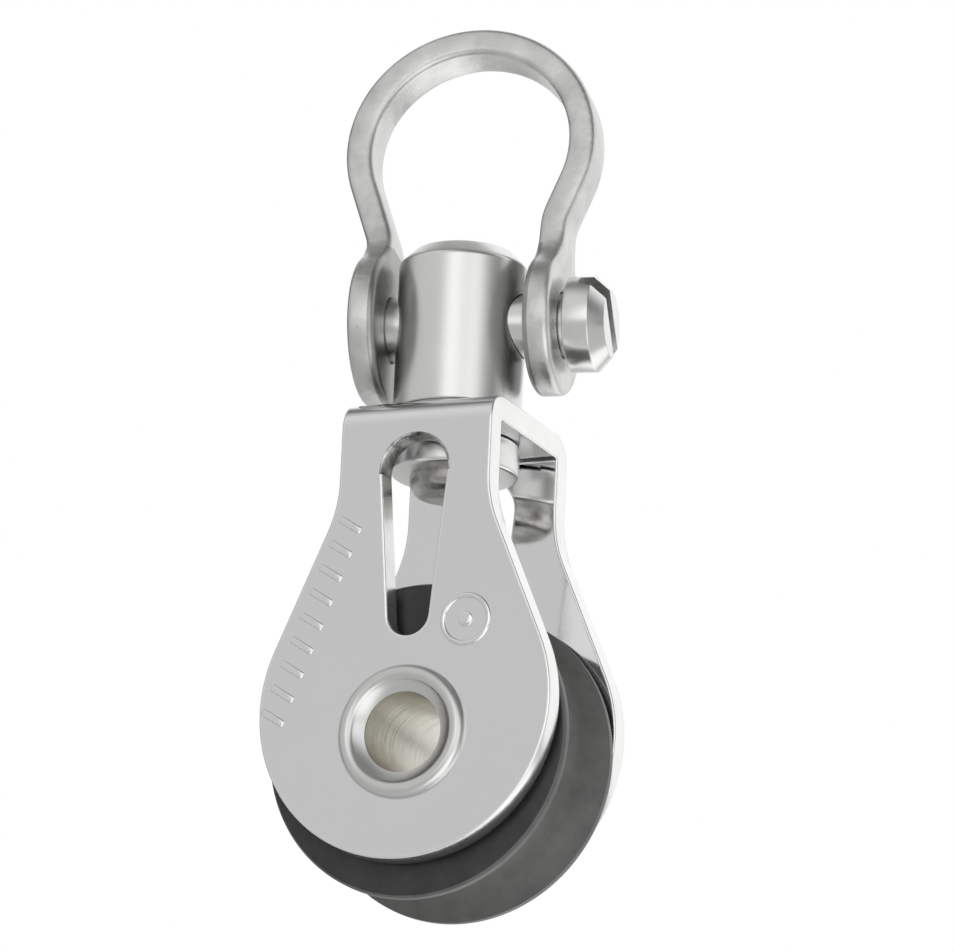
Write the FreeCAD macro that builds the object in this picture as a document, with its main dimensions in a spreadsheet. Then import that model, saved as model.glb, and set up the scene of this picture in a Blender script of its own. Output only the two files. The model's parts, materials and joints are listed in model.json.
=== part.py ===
import FreeCAD, Part
import math
import os
import Sketcher

# Small swivel block: one ball-bearing sheave between the two cheeks of a folded strap,
# a swivel post riveted through the strap's bridge, and a bow shackle pinned to the post.
# Millimetres. Origin at the middle of the axle, Y along the axle, Z up to the shackle.

SIZES = {
    # sheave
    "sheave_radius": 7.5,
    "sheave_side_clearance": 0.4,
    "groove_root_radius": 5.95,
    "groove_round": 2.8,
    "rim_round": 0.21,
    # cheek strap
    "cheek_thickness": 1.2,
    "cheek_gap": 6.8,
    "cheek_round_radius": 7.34,
    "cheek_round_height": 1.34,
    "flank_lean": 23.3,
    "neck_half_width": 3.82,
    "neck_blend": 6.2,
    "bridge_height": 16.25,
    "bend_outer": 1.4,
    "cheek_edge_round": 0.18,
    "slot_top_height": 12.63,
    "slot_top_radius": 1.66,
    "slot_foot_height": 5.65,
    "slot_foot_radius": 1.03,
    # hollow axle
    "axle_bore_radius": 1.9,
    "axle_wall": 0.55,
    "axle_roll_radius": 0.425,
    "axle_roll_reach": 0.325,
    "axle_cone_slope": 30.0,
    # ball bearing
    "ball_radius": 0.75,
    "ball_pitch_radius": 3.72,
    "ball_clearance": 0.03,
    "race_land_gap": 0.74,
    "outer_race_radius": 4.95,
    "outer_race_width": 3.0,
    "shield_thickness": 0.4,
    "shield_clearance": 0.12,
    # swivel post
    "post_radius": 3.06,
    "post_height": 8.03,
    "post_top_round": 0.7,
    "stem_radius": 1.6,
    "washer_radius": 2.7,
    "washer_thickness": 0.2,
    "collar_radius": 3.05,
    "collar_thickness": 1.6,
    "peen_radius": 2.1,
    "peen_height": 1.0,
    "peen_round": 0.6,
    "running_clearance": 0.05,
    "face_clearance": 0.02,
    # shackle
    "pin_rise": 4.32,
    "pin_radius": 1.5,
    "bow_thickness": 1.32,
    "bow_depth": 2.3,
    "bow_swell": 2.12,
    "bow_height": 9.18,
    "leg_lean": 20.0,
    "leg_blend": 3.0,
    "threaded_ear_clearance": 0.3,
    "threaded_ear_radius": 3.65,
    "head_ear_clearance": 0.68,
    "head_ear_radius": 3.35,
    "ear_blend": 2.5,
    "bow_edge_round": 0.25,
    "head_gap": 0.36,
    "head_radius": 2.28,
    "head_length": 1.93,
    "head_chamfer_length": 0.68,
    "head_chamfer_depth": 0.7,
    "coin_slot_width": 0.9,
    "coin_slot_depth": 1.33,
    # how the joints stand at rest, in degrees
    "swivel_angle": 8.86,
    "shackle_lean": -7.33,
    "coin_slot_angle": -42.2,
}
BALLS = 15

doc = FreeCAD.newDocument("SwivelBlock")
sheet = doc.addObject("Spreadsheet::Sheet", "Sizes")
for row, (alias, number) in enumerate(SIZES.items(), start=1):
    sheet.set(f"A{row}", str(number))
    sheet.setAlias(f"A{row}", alias)
doc.recompute()


class Size:
    """A number together with the spreadsheet expression that it comes from."""

    def __init__(self, value, text):
        self.value = value
        self.text = text

    def __add__(self, other):
        other = as_size(other)
        return Size(self.value + other.value, f"({self.text} + {other.text})")

    def __sub__(self, other):
        other = as_size(other)
        return Size(self.value - other.value, f"({self.text} - {other.text})")

    def __mul__(self, other):
        other = as_size(other)
        return Size(self.value * other.value, f"({self.text} * {other.text})")

    def __truediv__(self, other):
        other = as_size(other)
        return Size(self.value / other.value, f"({self.text} / {other.text})")

    def __neg__(self):
        return Size(-self.value, f"(0 - {self.text})")


def as_size(number):
    return number if isinstance(number, Size) else Size(float(number), str(float(number)))


def size(alias):
    return Size(float(sheet.get(alias)), f"Sizes.{alias}")


def sine(angle):
    return Size(math.sin(math.radians(angle.value)), f"sin({angle.text} * 1 deg)")


def cosine(angle):
    return Size(math.cos(math.radians(angle.value)), f"cos({angle.text} * 1 deg)")


def root(number):
    return Size(math.sqrt(number.value), f"sqrt({number.text})")


def leg_of(hypotenuse, other_leg):
    return root(hypotenuse * hypotenuse - other_leg * other_leg)


NOTHING = as_size(0)
ALL_AROUND = 360
# how far blanks, then the cuts through them, stand past the finished outline
BLANK_MARGIN = 1.5
CUT_MARGIN = 3
# edges shorter than this are corners and seams, and places closer than that are the same
SHORT_EDGE = 0.5
SAME_PLACE = 1e-4
COUNTER = 1
CLOCKWISE = -1

# sketch and feature helpers


def new_body(name):
    body = doc.addObject("PartDesign::Body", name)
    body.Label = name
    return body


def new_sketch(body, name, role):
    sketch = body.newObject("Sketcher::SketchObject", f"{body.Name}_{name}")
    plane = next(item for item in body.Origin.OriginFeatures if item.Role == role)
    sketch.AttachmentSupport = [(plane, "")]
    sketch.MapMode = "FlatFace"
    return sketch


def arc_between(start, finish, bend):
    centre_x, centre_y, radius, turn = bend
    ends = [start, finish] if turn == COUNTER else [finish, start]
    angles = [math.atan2(y.value - centre_y.value, x.value - centre_x.value) for x, y in ends]
    if angles[1] <= angles[0]:
        angles[1] += 2 * math.pi
    centre = FreeCAD.Vector(centre_x.value, centre_y.value, 0)
    circle = Part.Circle(centre, FreeCAD.Vector(0, 0, 1), radius.value)
    return Part.ArcOfCircle(circle, *angles)


def draw_loop(sketch, steps):
    """Closed outline. A step is (x, y), or (x, y, bend) where an arc leaves that corner;
    bend is (centre x, centre y, radius, turn). Every size stays tied to the sheet."""
    first = sketch.GeometryCount
    ends = []
    for index, step in enumerate(steps):
        start = step[:2]
        finish = steps[(index + 1) % len(steps)][:2]
        if len(step) == 2:
            corners = [FreeCAD.Vector(x.value, y.value, 0) for x, y in (start, finish)]
            sketch.addGeometry(Part.LineSegment(*corners), False)
            ends.append((1, 2))
        else:
            sketch.addGeometry(arc_between(start, finish, step[2]), False)
            ends.append((1, 2) if step[2][3] == COUNTER else (2, 1))
    for index in range(len(steps)):
        following = (index + 1) % len(steps)
        joint = (first + index, ends[index][1], first + following, ends[following][0])
        sketch.addConstraint(Sketcher.Constraint("Coincident", *joint))
    for index, step in enumerate(steps):
        for direction, place in (("DistanceX", step[0]), ("DistanceY", step[1])):
            corner = (-1, 1, first + index, ends[index][0], place.value)
            tie(sketch, Sketcher.Constraint(direction, *corner), place)
        if len(step) > 2:
            radius = step[2][2]
            tie(sketch, Sketcher.Constraint("Radius", first + index, radius.value), radius)


def draw_circle(sketch, x, y, radius):
    centre = FreeCAD.Vector(x.value, y.value, 0)
    circle = Part.Circle(centre, FreeCAD.Vector(0, 0, 1), radius.value)
    number = sketch.addGeometry(circle, False)
    for direction, place in (("DistanceX", x), ("DistanceY", y)):
        tie(sketch, Sketcher.Constraint(direction, -1, 1, number, 3, place.value), place)
    tie(sketch, Sketcher.Constraint("Radius", number, radius.value), radius)


def tie(sketch, constraint, amount):
    number = sketch.addConstraint(constraint)
    if "Sizes." in amount.text:
        sketch.setExpression(f"Constraints[{number}]", amount.text)


def revolve(body, sketch, axis):
    turned = body.newObject("PartDesign::Revolution", f"{body.Name}_turned")
    turned.Profile = sketch
    turned.ReferenceAxis = (sketch, [axis])
    turned.Angle = ALL_AROUND
    doc.recompute()
    return turned


def pad_both_ways(body, sketch, length):
    pad = body.newObject("PartDesign::Pad", f"{body.Name}_pad")
    pad.Profile = sketch
    pad.SideType = "Symmetric"
    pad.setExpression("Length", length.text)
    doc.recompute()
    return pad


def cut_through(body, sketch, side="Symmetric", reverse=False):
    before = body.Shape.Volume
    cut = body.newObject("PartDesign::Pocket", f"{sketch.Name}_cut")
    cut.Profile = sketch
    cut.Type = "ThroughAll"
    cut.SideType = side
    cut.Reversed = reverse
    doc.recompute()
    if not body.Shape.Volume < before:
        raise RuntimeError(f"{cut.Name} removed nothing")
    return cut


def round_edges(body, name, radius, chosen):
    """Rounds the edges of the body's present shape that the test picks."""
    base = body.Tip
    names = [f"Edge{n}" for n, edge in enumerate(base.Shape.Edges, start=1) if chosen(edge)]
    rounding = body.newObject("PartDesign::Fillet", f"{body.Name}_{name}")
    rounding.Base = (base, names)
    rounding.setExpression("Radius", radius.text)
    doc.recompute()
    return rounding


def frame_around(sketch, reach_x, low, high):
    """Outer rectangle of a cut that trims a blank to the outline drawn inside it."""
    draw_loop(sketch, [(-reach_x, low), (reach_x, low), (reach_x, high), (-reach_x, high)])


# shared places

cheek_inner = size("cheek_gap") / 2
cheek_face = cheek_inner + size("cheek_thickness")
bridge_top = size("bridge_height")
bridge_under = bridge_top - size("cheek_thickness")
axle_radius = size("axle_bore_radius") + size("axle_wall")
inner_land = size("ball_pitch_radius") - size("race_land_gap") / 2
outer_land = size("ball_pitch_radius") + size("race_land_gap") / 2
track_radius = size("ball_radius") + size("ball_clearance")
half_race = size("outer_race_width") / 2
washer_under = bridge_top + size("face_clearance")
post_under = washer_under + size("washer_thickness")
collar_top = bridge_under - size("face_clearance")
collar_under = collar_top - size("collar_thickness")
pin_height = post_under + size("pin_rise")
pin_hole = size("pin_radius") + size("running_clearance")
threaded_ear_gap = size("post_radius") + size("threaded_ear_clearance")
head_ear_gap = size("post_radius") + size("head_ear_clearance")
bow_radius = threaded_ear_gap + size("bow_swell")

upright = FreeCAD.Rotation(FreeCAD.Vector(0, 0, 1), size("swivel_angle").value)
leaning = FreeCAD.Rotation(FreeCAD.Vector(1, 0, 0), size("shackle_lean").value)
slot_turn = FreeCAD.Rotation(FreeCAD.Vector(1, 0, 0), size("coin_slot_angle").value)
pin_centre = FreeCAD.Vector(0, 0, pin_height.value)
swivel_place = FreeCAD.Placement(FreeCAD.Vector(0, 0, 0), upright)
shackle_place = FreeCAD.Placement(pin_centre, upright * leaning)
pin_place = FreeCAD.Placement(pin_centre, upright * leaning * slot_turn)


# cheeks


def side_of_cheek(side):
    """Corners of one edge of the cheek, from the round's tangent up to the neck's top."""
    lean = size("flank_lean")
    radius = size("cheek_round_radius")
    tangent_x = radius * cosine(lean)
    tangent_z = size("cheek_round_height") + radius * sine(lean)
    neck = size("neck_half_width")
    blend = size("neck_blend")
    meet_z = tangent_z + (tangent_x - neck) * cosine(lean) / sine(lean)
    reach = blend * (as_size(1) - cosine(lean)) / sine(lean)
    blend_z = meet_z + reach
    flank_x = neck + reach * sine(lean)
    flank_z = meet_z - reach * cosine(lean)
    top = bridge_top + BLANK_MARGIN
    corners = [(tangent_x, tangent_z), (flank_x, flank_z), (neck, blend_z), (neck, top)]
    arc = (neck + blend, blend_z, blend)
    if side < 0:
        corners = [(-x, z) for x, z in corners]
        arc = (-arc[0], arc[1], arc[2])
    return corners, arc


def make_cheek_strap():
    body = new_body("cheek_strap")
    round_radius = size("cheek_round_radius")
    foot = size("cheek_round_height") - round_radius - BLANK_MARGIN
    bend = size("bend_outer")
    bend_in = bend - size("cheek_thickness")

    fold = new_sketch(body, "fold", "YZ_Plane")
    low_outer = bridge_top - bend
    inner_bend_y = cheek_inner - bend_in
    draw_loop(fold, [
        (cheek_face, foot),
        (cheek_face, low_outer, (cheek_face - bend, low_outer, bend, COUNTER)),
        (cheek_face - bend, bridge_top),
        (bend - cheek_face, bridge_top, (bend - cheek_face, low_outer, bend, COUNTER)),
        (-cheek_face, low_outer),
        (-cheek_face, foot),
        (-cheek_inner, foot),
        (-cheek_inner, bridge_under - bend_in,
         (-inner_bend_y, bridge_under - bend_in, bend_in, CLOCKWISE)),
        (-inner_bend_y, bridge_under),
        (inner_bend_y, bridge_under,
         (inner_bend_y, bridge_under - bend_in, bend_in, CLOCKWISE)),
        (cheek_inner, bridge_under - bend_in),
        (cheek_inner, foot),
    ])
    pad_both_ways(body, fold, (round_radius + BLANK_MARGIN) * 2)

    outline = new_sketch(body, "outline", "XZ_Plane")
    frame_around(outline, round_radius + CUT_MARGIN, foot - CUT_MARGIN, bridge_top + CUT_MARGIN)
    right, right_arc = side_of_cheek(1)
    left, left_arc = side_of_cheek(-1)
    draw_loop(outline, [
        right[0],
        (*right[1], (*right_arc, CLOCKWISE)),
        right[2],
        right[3],
        left[3],
        (*left[2], (*left_arc, CLOCKWISE)),
        left[1],
        (*left[0], (NOTHING, size("cheek_round_height"), round_radius, COUNTER)),
    ])
    cut_through(body, outline)

    openings = new_sketch(body, "openings", "XZ_Plane")
    top_radius = size("slot_top_radius")
    foot_radius = size("slot_foot_radius")
    top_z = size("slot_top_height")
    foot_z = size("slot_foot_height")
    taper = (top_radius - foot_radius) / (top_z - foot_z)
    square = leg_of(as_size(1), taper)
    draw_loop(openings, [
        (foot_radius * square, foot_z - foot_radius * taper),
        (top_radius * square, top_z - top_radius * taper, (NOTHING, top_z, top_radius, COUNTER)),
        (-(top_radius * square), top_z - top_radius * taper),
        (-(foot_radius * square), foot_z - foot_radius * taper,
         (NOTHING, foot_z, foot_radius, COUNTER)),
    ])
    draw_circle(openings, NOTHING, NOTHING, axle_radius)
    cut_through(body, openings)

    stem_hole = new_sketch(body, "stem_hole", "XY_Plane")
    draw_circle(stem_hole, NOTHING, NOTHING, size("stem_radius") + size("running_clearance"))
    cut_through(body, stem_hole, "One side", True)

    def on_outer_outline(edge):
        box = edge.BoundBox
        flat = abs(abs(box.YMin) - cheek_face.value) < SAME_PLACE and box.YLength < SAME_PLACE
        wide = max(abs(box.XMin), abs(box.XMax)) > axle_radius.value + SHORT_EDGE
        return flat and wide and box.ZLength > SHORT_EDGE

    round_edges(body, "edge_round", size("cheek_edge_round"), on_outer_outline)
    return body


def make_axle_rivet():
    """Hollow axle whose two ends are rolled over the cheeks."""
    body = new_body("axle_rivet")
    bore = size("axle_bore_radius")
    roll = size("axle_roll_radius")
    ring = axle_radius + size("axle_roll_reach")
    slant = size("axle_cone_slope")
    lip_x = ring - roll * cosine(slant)
    lip_y = cheek_face + roll * sine(slant)
    cone_depth = (lip_x - bore) * sine(slant) / cosine(slant)
    profile = new_sketch(body, "profile", "XY_Plane")
    half = [
        (bore, lip_y - cone_depth),
        (lip_x, lip_y),
        (ring + roll, cheek_face),
        (axle_radius, cheek_face),
    ]
    over = (ring, cheek_face, roll, CLOCKWISE)
    under = (ring, -cheek_face, roll, CLOCKWISE)
    draw_loop(profile, [
        half[0],
        (*half[1], over),
        half[2],
        half[3],
        (half[3][0], -half[3][1]),
        (half[2][0], -half[2][1], under),
        (half[1][0], -half[1][1]),
        (half[0][0], -half[0][1]),
    ])
    revolve(body, profile, "V_Axis")
    return body


# bearing


def make_race(name, land, wall, half_width, facing):
    """Ring with a round ball track; facing is 1 where the track faces outwards."""
    body = new_body(name)
    pitch = size("ball_pitch_radius")
    half_track = leg_of(track_radius, size("race_land_gap") / 2)
    track = (pitch, NOTHING, track_radius, COUNTER if facing > 0 else CLOCKWISE)
    profile = new_sketch(body, "profile", "XY_Plane")
    draw_loop(profile, [
        (wall, half_width),
        (land, half_width),
        (land, half_track, track),
        (land, -half_track),
        (land, -half_width),
        (wall, -half_width),
    ])
    revolve(body, profile, "V_Axis")
    return body


def make_shield(name, side):
    body = new_body(name)
    near = half_race * side
    far = (half_race + size("shield_thickness")) * side
    profile = new_sketch(body, "profile", "XY_Plane")
    inside = inner_land + size("shield_clearance")
    outside = size("outer_race_radius")
    draw_loop(profile, [(inside, near), (outside, near), (outside, far), (inside, far)])
    revolve(body, profile, "V_Axis")
    return body


def make_balls():
    pitch = size("ball_pitch_radius")
    for index in range(BALLS):
        angle = as_size(index * ALL_AROUND / BALLS)
        ball = doc.addObject("Part::Sphere", f"ball_{index + 1:02d}")
        ball.Label = ball.Name
        ball.setExpression("Radius", size("ball_radius").text)
        ball.setExpression("Placement.Base.x", (pitch * sine(angle)).text)
        ball.setExpression("Placement.Base.z", (pitch * cosine(angle)).text)


def make_sheave():
    body = new_body("sheave")
    rim = size("sheave_radius")
    half = cheek_inner - size("sheave_side_clearance")
    edge = size("rim_round")
    curve = size("groove_round")
    centre = size("groove_root_radius") + curve
    lip = leg_of(curve, centre - rim)
    bore = size("outer_race_radius")
    profile = new_sketch(body, "profile", "XY_Plane")
    draw_loop(profile, [
        (bore, -half),
        (rim - edge, -half, (rim - edge, edge - half, edge, COUNTER)),
        (rim, edge - half),
        (rim, -lip, (centre, NOTHING, curve, CLOCKWISE)),
        (rim, lip),
        (rim, half - edge, (rim - edge, half - edge, edge, COUNTER)),
        (rim - edge, half),
        (bore, half),
    ])
    revolve(body, profile, "V_Axis")
    return body


# swivel


def make_swivel_post():
    body = new_body("swivel_post")
    radius = size("post_radius")
    stem = size("stem_radius")
    top = post_under + size("post_height")
    crown = size("post_top_round")
    peen = size("peen_radius")
    peen_foot = collar_under - size("peen_height")
    peen_round = size("peen_round")
    profile = new_sketch(body, "profile", "XZ_Plane")
    draw_loop(profile, [
        (NOTHING, peen_foot),
        (peen - peen_round, peen_foot,
         (peen - peen_round, peen_foot + peen_round, peen_round, COUNTER)),
        (peen, peen_foot + peen_round),
        (peen, collar_under),
        (stem, collar_under),
        (stem, post_under),
        (radius, post_under),
        (radius, top - crown, (radius - crown, top - crown, crown, COUNTER)),
        (radius - crown, top),
        (NOTHING, top),
    ])
    revolve(body, profile, "V_Axis")
    cross_hole = new_sketch(body, "cross_hole", "YZ_Plane")
    draw_circle(cross_hole, NOTHING, pin_height, pin_hole)
    cut_through(body, cross_hole)
    body.Placement = swivel_place
    return body


def make_ring(name, outside, low, high):
    """Plain ring around the post's stem."""
    body = new_body(name)
    stem = size("stem_radius")
    profile = new_sketch(body, "profile", "XZ_Plane")
    draw_loop(profile, [(stem, low), (outside, low), (outside, high), (stem, high)])
    revolve(body, profile, "V_Axis")
    body.Placement = swivel_place
    return body


# shackle


def side_of_bow(side, gap, foot):
    """Outer and inner corners of one leg, going up, with their blends into the lean."""
    lean = size("leg_lean")
    middle = gap + size("bow_thickness") / 2
    height = size("bow_height")
    leave_x = bow_radius * cosine(lean)
    leave_z = height - bow_radius * sine(lean)
    meet_z = leave_z - (leave_x - middle) * cosine(lean) / sine(lean)
    blend = size("leg_blend")
    blend_z = meet_z - blend * (as_size(1) - cosine(lean)) / sine(lean)
    blend_x = middle + blend
    runs = {}
    for name, offset in (("outer", size("bow_thickness") / 2), ("inner", -size("bow_thickness") / 2)):
        around = blend - offset
        corners = [
            (middle + offset, foot),
            (middle + offset, blend_z),
            (blend_x - around * cosine(lean), blend_z + around * sine(lean)),
            ((bow_radius + offset) * cosine(lean), height - (bow_radius + offset) * sine(lean)),
        ]
        if side < 0:
            corners = [(-x, z) for x, z in corners]
        runs[name] = corners, (blend_x * side, blend_z, around), bow_radius + offset
    return runs


def trim_leg(body, name, ear_radius, side, top, widest):
    """Trims one leg of the blank to a narrow strip that widens into a round ear."""
    blend = size("ear_blend")
    half = size("bow_depth") / 2
    centre_y = half + blend
    centre_z = leg_of(ear_radius + blend, centre_y)
    share = ear_radius / (ear_radius + blend)
    sketch = new_sketch(body, name, "YZ_Plane")
    frame_around(sketch, widest + CUT_MARGIN, -(widest + CUT_MARGIN), top + CUT_MARGIN)
    draw_loop(sketch, [
        (half, top),
        (-half, top),
        (-half, centre_z, (-centre_y, centre_z, blend, CLOCKWISE)),
        (-(centre_y * share), centre_z * share, (NOTHING, NOTHING, ear_radius, COUNTER)),
        (centre_y * share, centre_z * share, (centre_y, centre_z, blend, CLOCKWISE)),
        (half, centre_z),
    ])
    cut_through(body, sketch, "One side", side > 0)


def make_shackle_bow():
    body = new_body("shackle_bow")
    height = size("bow_height")
    widest = size("threaded_ear_radius")
    if size("head_ear_radius").value > widest.value:
        widest = size("head_ear_radius")
    foot = -(widest + BLANK_MARGIN)
    head_side = side_of_bow(1, head_ear_gap, foot)
    threaded_side = side_of_bow(-1, threaded_ear_gap, foot)
    band = new_sketch(body, "band", "XZ_Plane")
    (r_out, r_out_arc, outer_radius) = head_side["outer"]
    (l_out, l_out_arc, outer_radius) = threaded_side["outer"]
    (r_in, r_in_arc, inner_radius) = head_side["inner"]
    (l_in, l_in_arc, inner_radius) = threaded_side["inner"]
    draw_loop(band, [
        r_out[0],
        (*r_out[1], (*r_out_arc, CLOCKWISE)),
        r_out[2],
        (*r_out[3], (NOTHING, height, outer_radius, COUNTER)),
        l_out[3],
        (*l_out[2], (*l_out_arc, CLOCKWISE)),
        l_out[1],
        l_out[0],
        l_in[0],
        (*l_in[1], (*l_in_arc, COUNTER)),
        l_in[2],
        (*l_in[3], (NOTHING, height, inner_radius, CLOCKWISE)),
        r_in[3],
        (*r_in[2], (*r_in_arc, COUNTER)),
        r_in[1],
        r_in[0],
    ])
    pad_both_ways(body, band, (widest + BLANK_MARGIN) * 2)
    top = height + bow_radius + size("bow_thickness") + BLANK_MARGIN
    trim_leg(body, "head_ear", size("head_ear_radius"), 1, top, widest)
    trim_leg(body, "threaded_ear", size("threaded_ear_radius"), -1, top, widest)
    pin_holes = new_sketch(body, "pin_holes", "YZ_Plane")
    draw_circle(pin_holes, NOTHING, NOTHING, pin_hole)
    cut_through(body, pin_holes)

    def on_outline(edge):
        middle = edge.valueAt((edge.FirstParameter + edge.LastParameter) / 2)
        off_hole = math.hypot(middle.y, middle.z) > pin_hole.value + SHORT_EDGE
        return off_hole and edge.BoundBox.ZLength > SAME_PLACE

    round_edges(body, "edge_round", size("bow_edge_round"), on_outline)
    body.Placement = shackle_place
    return body


def make_shackle_pin():
    """Slotted pin: plain shank, its end in the threaded ear, and a chamfered round head."""
    body = new_body("shackle_pin")
    shank = size("pin_radius")
    tip = -(threaded_ear_gap + size("bow_thickness"))
    head = head_ear_gap + size("bow_thickness") + size("head_gap")
    end = head + size("head_length")
    radius = size("head_radius")
    profile = new_sketch(body, "profile", "XZ_Plane")
    draw_loop(profile, [
        (tip, NOTHING),
        (end, NOTHING),
        (end, radius - size("head_chamfer_depth")),
        (end - size("head_chamfer_length"), radius),
        (head, radius),
        (head, shank),
        (tip, shank),
    ])
    revolve(body, profile, "H_Axis")
    coin_slot = new_sketch(body, "coin_slot", "XZ_Plane")
    floor = end - size("coin_slot_depth")
    half = size("coin_slot_width") / 2
    draw_loop(coin_slot, [
        (floor, -half),
        (end + CUT_MARGIN, -half),
        (end + CUT_MARGIN, half),
        (floor, half),
    ])
    cut_through(body, coin_slot)
    body.Placement = pin_place
    return body


make_cheek_strap()
make_axle_rivet()
make_race("inner_race", inner_land, axle_radius, cheek_inner, 1)
make_race("outer_race", outer_land, size("outer_race_radius"), half_race, -1)
make_shield("bearing_shield_front", -1)
make_shield("bearing_shield_rear", 1)
make_balls()
make_sheave()
make_swivel_post()
make_ring("swivel_washer", size("washer_radius"), washer_under, post_under)
make_ring("swivel_collar", size("collar_radius"), collar_under, collar_top)
make_shackle_bow()
make_shackle_pin()
doc.recompute()

# check and write

for item in doc.Objects:
    if "Invalid" in item.State or "Error" in item.State:
        raise RuntimeError(f"{item.Name} did not build: {item.State}")

os.makedirs("parts", exist_ok=True)
for piece in doc.Objects:
    if piece.TypeId not in ("PartDesign::Body", "Part::Sphere"):
        continue
    if piece.Shape.isNull() or not piece.Shape.isValid() or len(piece.Shape.Solids) != 1:
        raise RuntimeError(f"{piece.Label} is not one valid solid")
    piece.Shape.exportStep(f"parts/{piece.Label}.step")
    print(piece.Label, round(piece.Shape.Volume, 2), "mm3")
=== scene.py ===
import json
import math
import bmesh
import bpy
from mathutils import Matrix, Vector
from mathutils.geometry import delaunay_2d_cdt


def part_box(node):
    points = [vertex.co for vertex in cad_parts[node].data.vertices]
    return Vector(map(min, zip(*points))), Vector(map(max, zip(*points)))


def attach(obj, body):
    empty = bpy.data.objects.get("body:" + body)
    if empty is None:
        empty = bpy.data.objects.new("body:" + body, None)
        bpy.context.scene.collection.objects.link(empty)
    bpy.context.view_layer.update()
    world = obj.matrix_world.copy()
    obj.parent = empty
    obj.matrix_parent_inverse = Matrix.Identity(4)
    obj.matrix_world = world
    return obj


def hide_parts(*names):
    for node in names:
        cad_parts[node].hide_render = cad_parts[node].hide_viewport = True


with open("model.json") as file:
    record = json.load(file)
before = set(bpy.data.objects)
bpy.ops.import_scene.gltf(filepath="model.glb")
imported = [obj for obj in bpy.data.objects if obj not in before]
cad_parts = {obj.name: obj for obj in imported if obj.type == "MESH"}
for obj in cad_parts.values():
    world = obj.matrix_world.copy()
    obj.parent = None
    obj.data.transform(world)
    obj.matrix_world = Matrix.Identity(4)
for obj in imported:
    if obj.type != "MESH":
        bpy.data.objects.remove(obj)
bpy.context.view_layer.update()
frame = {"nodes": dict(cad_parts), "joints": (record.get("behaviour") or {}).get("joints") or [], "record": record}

mm = 0.001
samePlace = 0.0004  # points this close are one, in millimetres
shortestEdge = 0.0005
tiny = 0.00001
sharpAngle = 40  # in degrees
record = frame["record"]
swingJoint = next(joint for joint in frame["joints"] if joint["name"] == "shackle_swing")
crownMount = next(mount for mount in record["mounts"] if mount["name"] == "shackle_crown")


def nodeBox(node):
    # a node's corners in millimetres
    low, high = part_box(node)
    return low / mm, high / mm


# the shackle's own axes: x along its pin, z up its legs, centred on the pin
pinAxis = Vector(swingJoint["axis"]).normalized()
legAxis = Vector(crownMount["axis"]).normalized()
pinCentre = Vector(swingJoint["pos_m"]) / mm
shackleTurn = Matrix((pinAxis, legAxis.cross(pinAxis), legAxis)).transposed()
shacklePlace = Matrix.Translation(pinCentre) @ shackleTurn.to_4x4()
swivelPlace = Matrix.Rotation(math.atan2(pinAxis.y, pinAxis.x), 4, "Z")

# materials


def startMaterial(name, colour, metallic, roughness):
    material = bpy.data.materials.new(name)
    material.use_nodes = True
    shader = material.node_tree.nodes["Principled BSDF"]
    shader.inputs["Base Color"].default_value = (*colour, 1)
    shader.inputs["Metallic"].default_value = metallic
    shader.inputs["Roughness"].default_value = roughness
    return material, material.node_tree, shader


def placeNode(tree, scale):
    # object coordinates, scaled per axis
    coordinates = tree.nodes.new("ShaderNodeTexCoord")
    mapping = tree.nodes.new("ShaderNodeMapping")
    mapping.inputs["Scale"].default_value = scale
    tree.links.new(coordinates.outputs["Object"], mapping.inputs["Vector"])
    return mapping.outputs["Vector"]


def noiseNode(tree, place, scale, detail=4, roughness=0.55):
    noise = tree.nodes.new("ShaderNodeTexNoise")
    noise.inputs["Scale"].default_value = scale
    noise.inputs["Detail"].default_value = detail
    noise.inputs["Roughness"].default_value = roughness
    tree.links.new(place, noise.inputs["Vector"])
    return noise.outputs["Fac"]


def rampNode(tree, factor, low, high, lowColour, highColour):
    ramp = tree.nodes.new("ShaderNodeValToRGB")
    ramp.color_ramp.elements[0].position = low
    ramp.color_ramp.elements[1].position = high
    ramp.color_ramp.elements[0].color = (*lowColour, 1)
    ramp.color_ramp.elements[1].color = (*highColour, 1)
    tree.links.new(factor, ramp.inputs["Fac"])
    return ramp.outputs["Color"]


def spanNode(tree, factor, low, high):
    span = tree.nodes.new("ShaderNodeMapRange")
    span.inputs["To Min"].default_value = low
    span.inputs["To Max"].default_value = high
    tree.links.new(factor, span.inputs["Value"])
    return span.outputs["Result"]


def bumpNode(tree, height, strength, distance, normal=None):
    bump = tree.nodes.new("ShaderNodeBump")
    bump.inputs["Strength"].default_value = strength
    bump.inputs["Distance"].default_value = distance
    tree.links.new(height, bump.inputs["Height"])
    if normal is not None:
        tree.links.new(normal, bump.inputs["Normal"])
    return bump.outputs["Normal"]


grain = {
    "steelSpan": (0.3, 0.7), "dustSpan": (0.35, 0.72), "dustDetail": 5, "dustRoughness": 0.6,
    "lineDetail": 3, "pitDetail": 6, "pitRoughness": 0.65,
}


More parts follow.
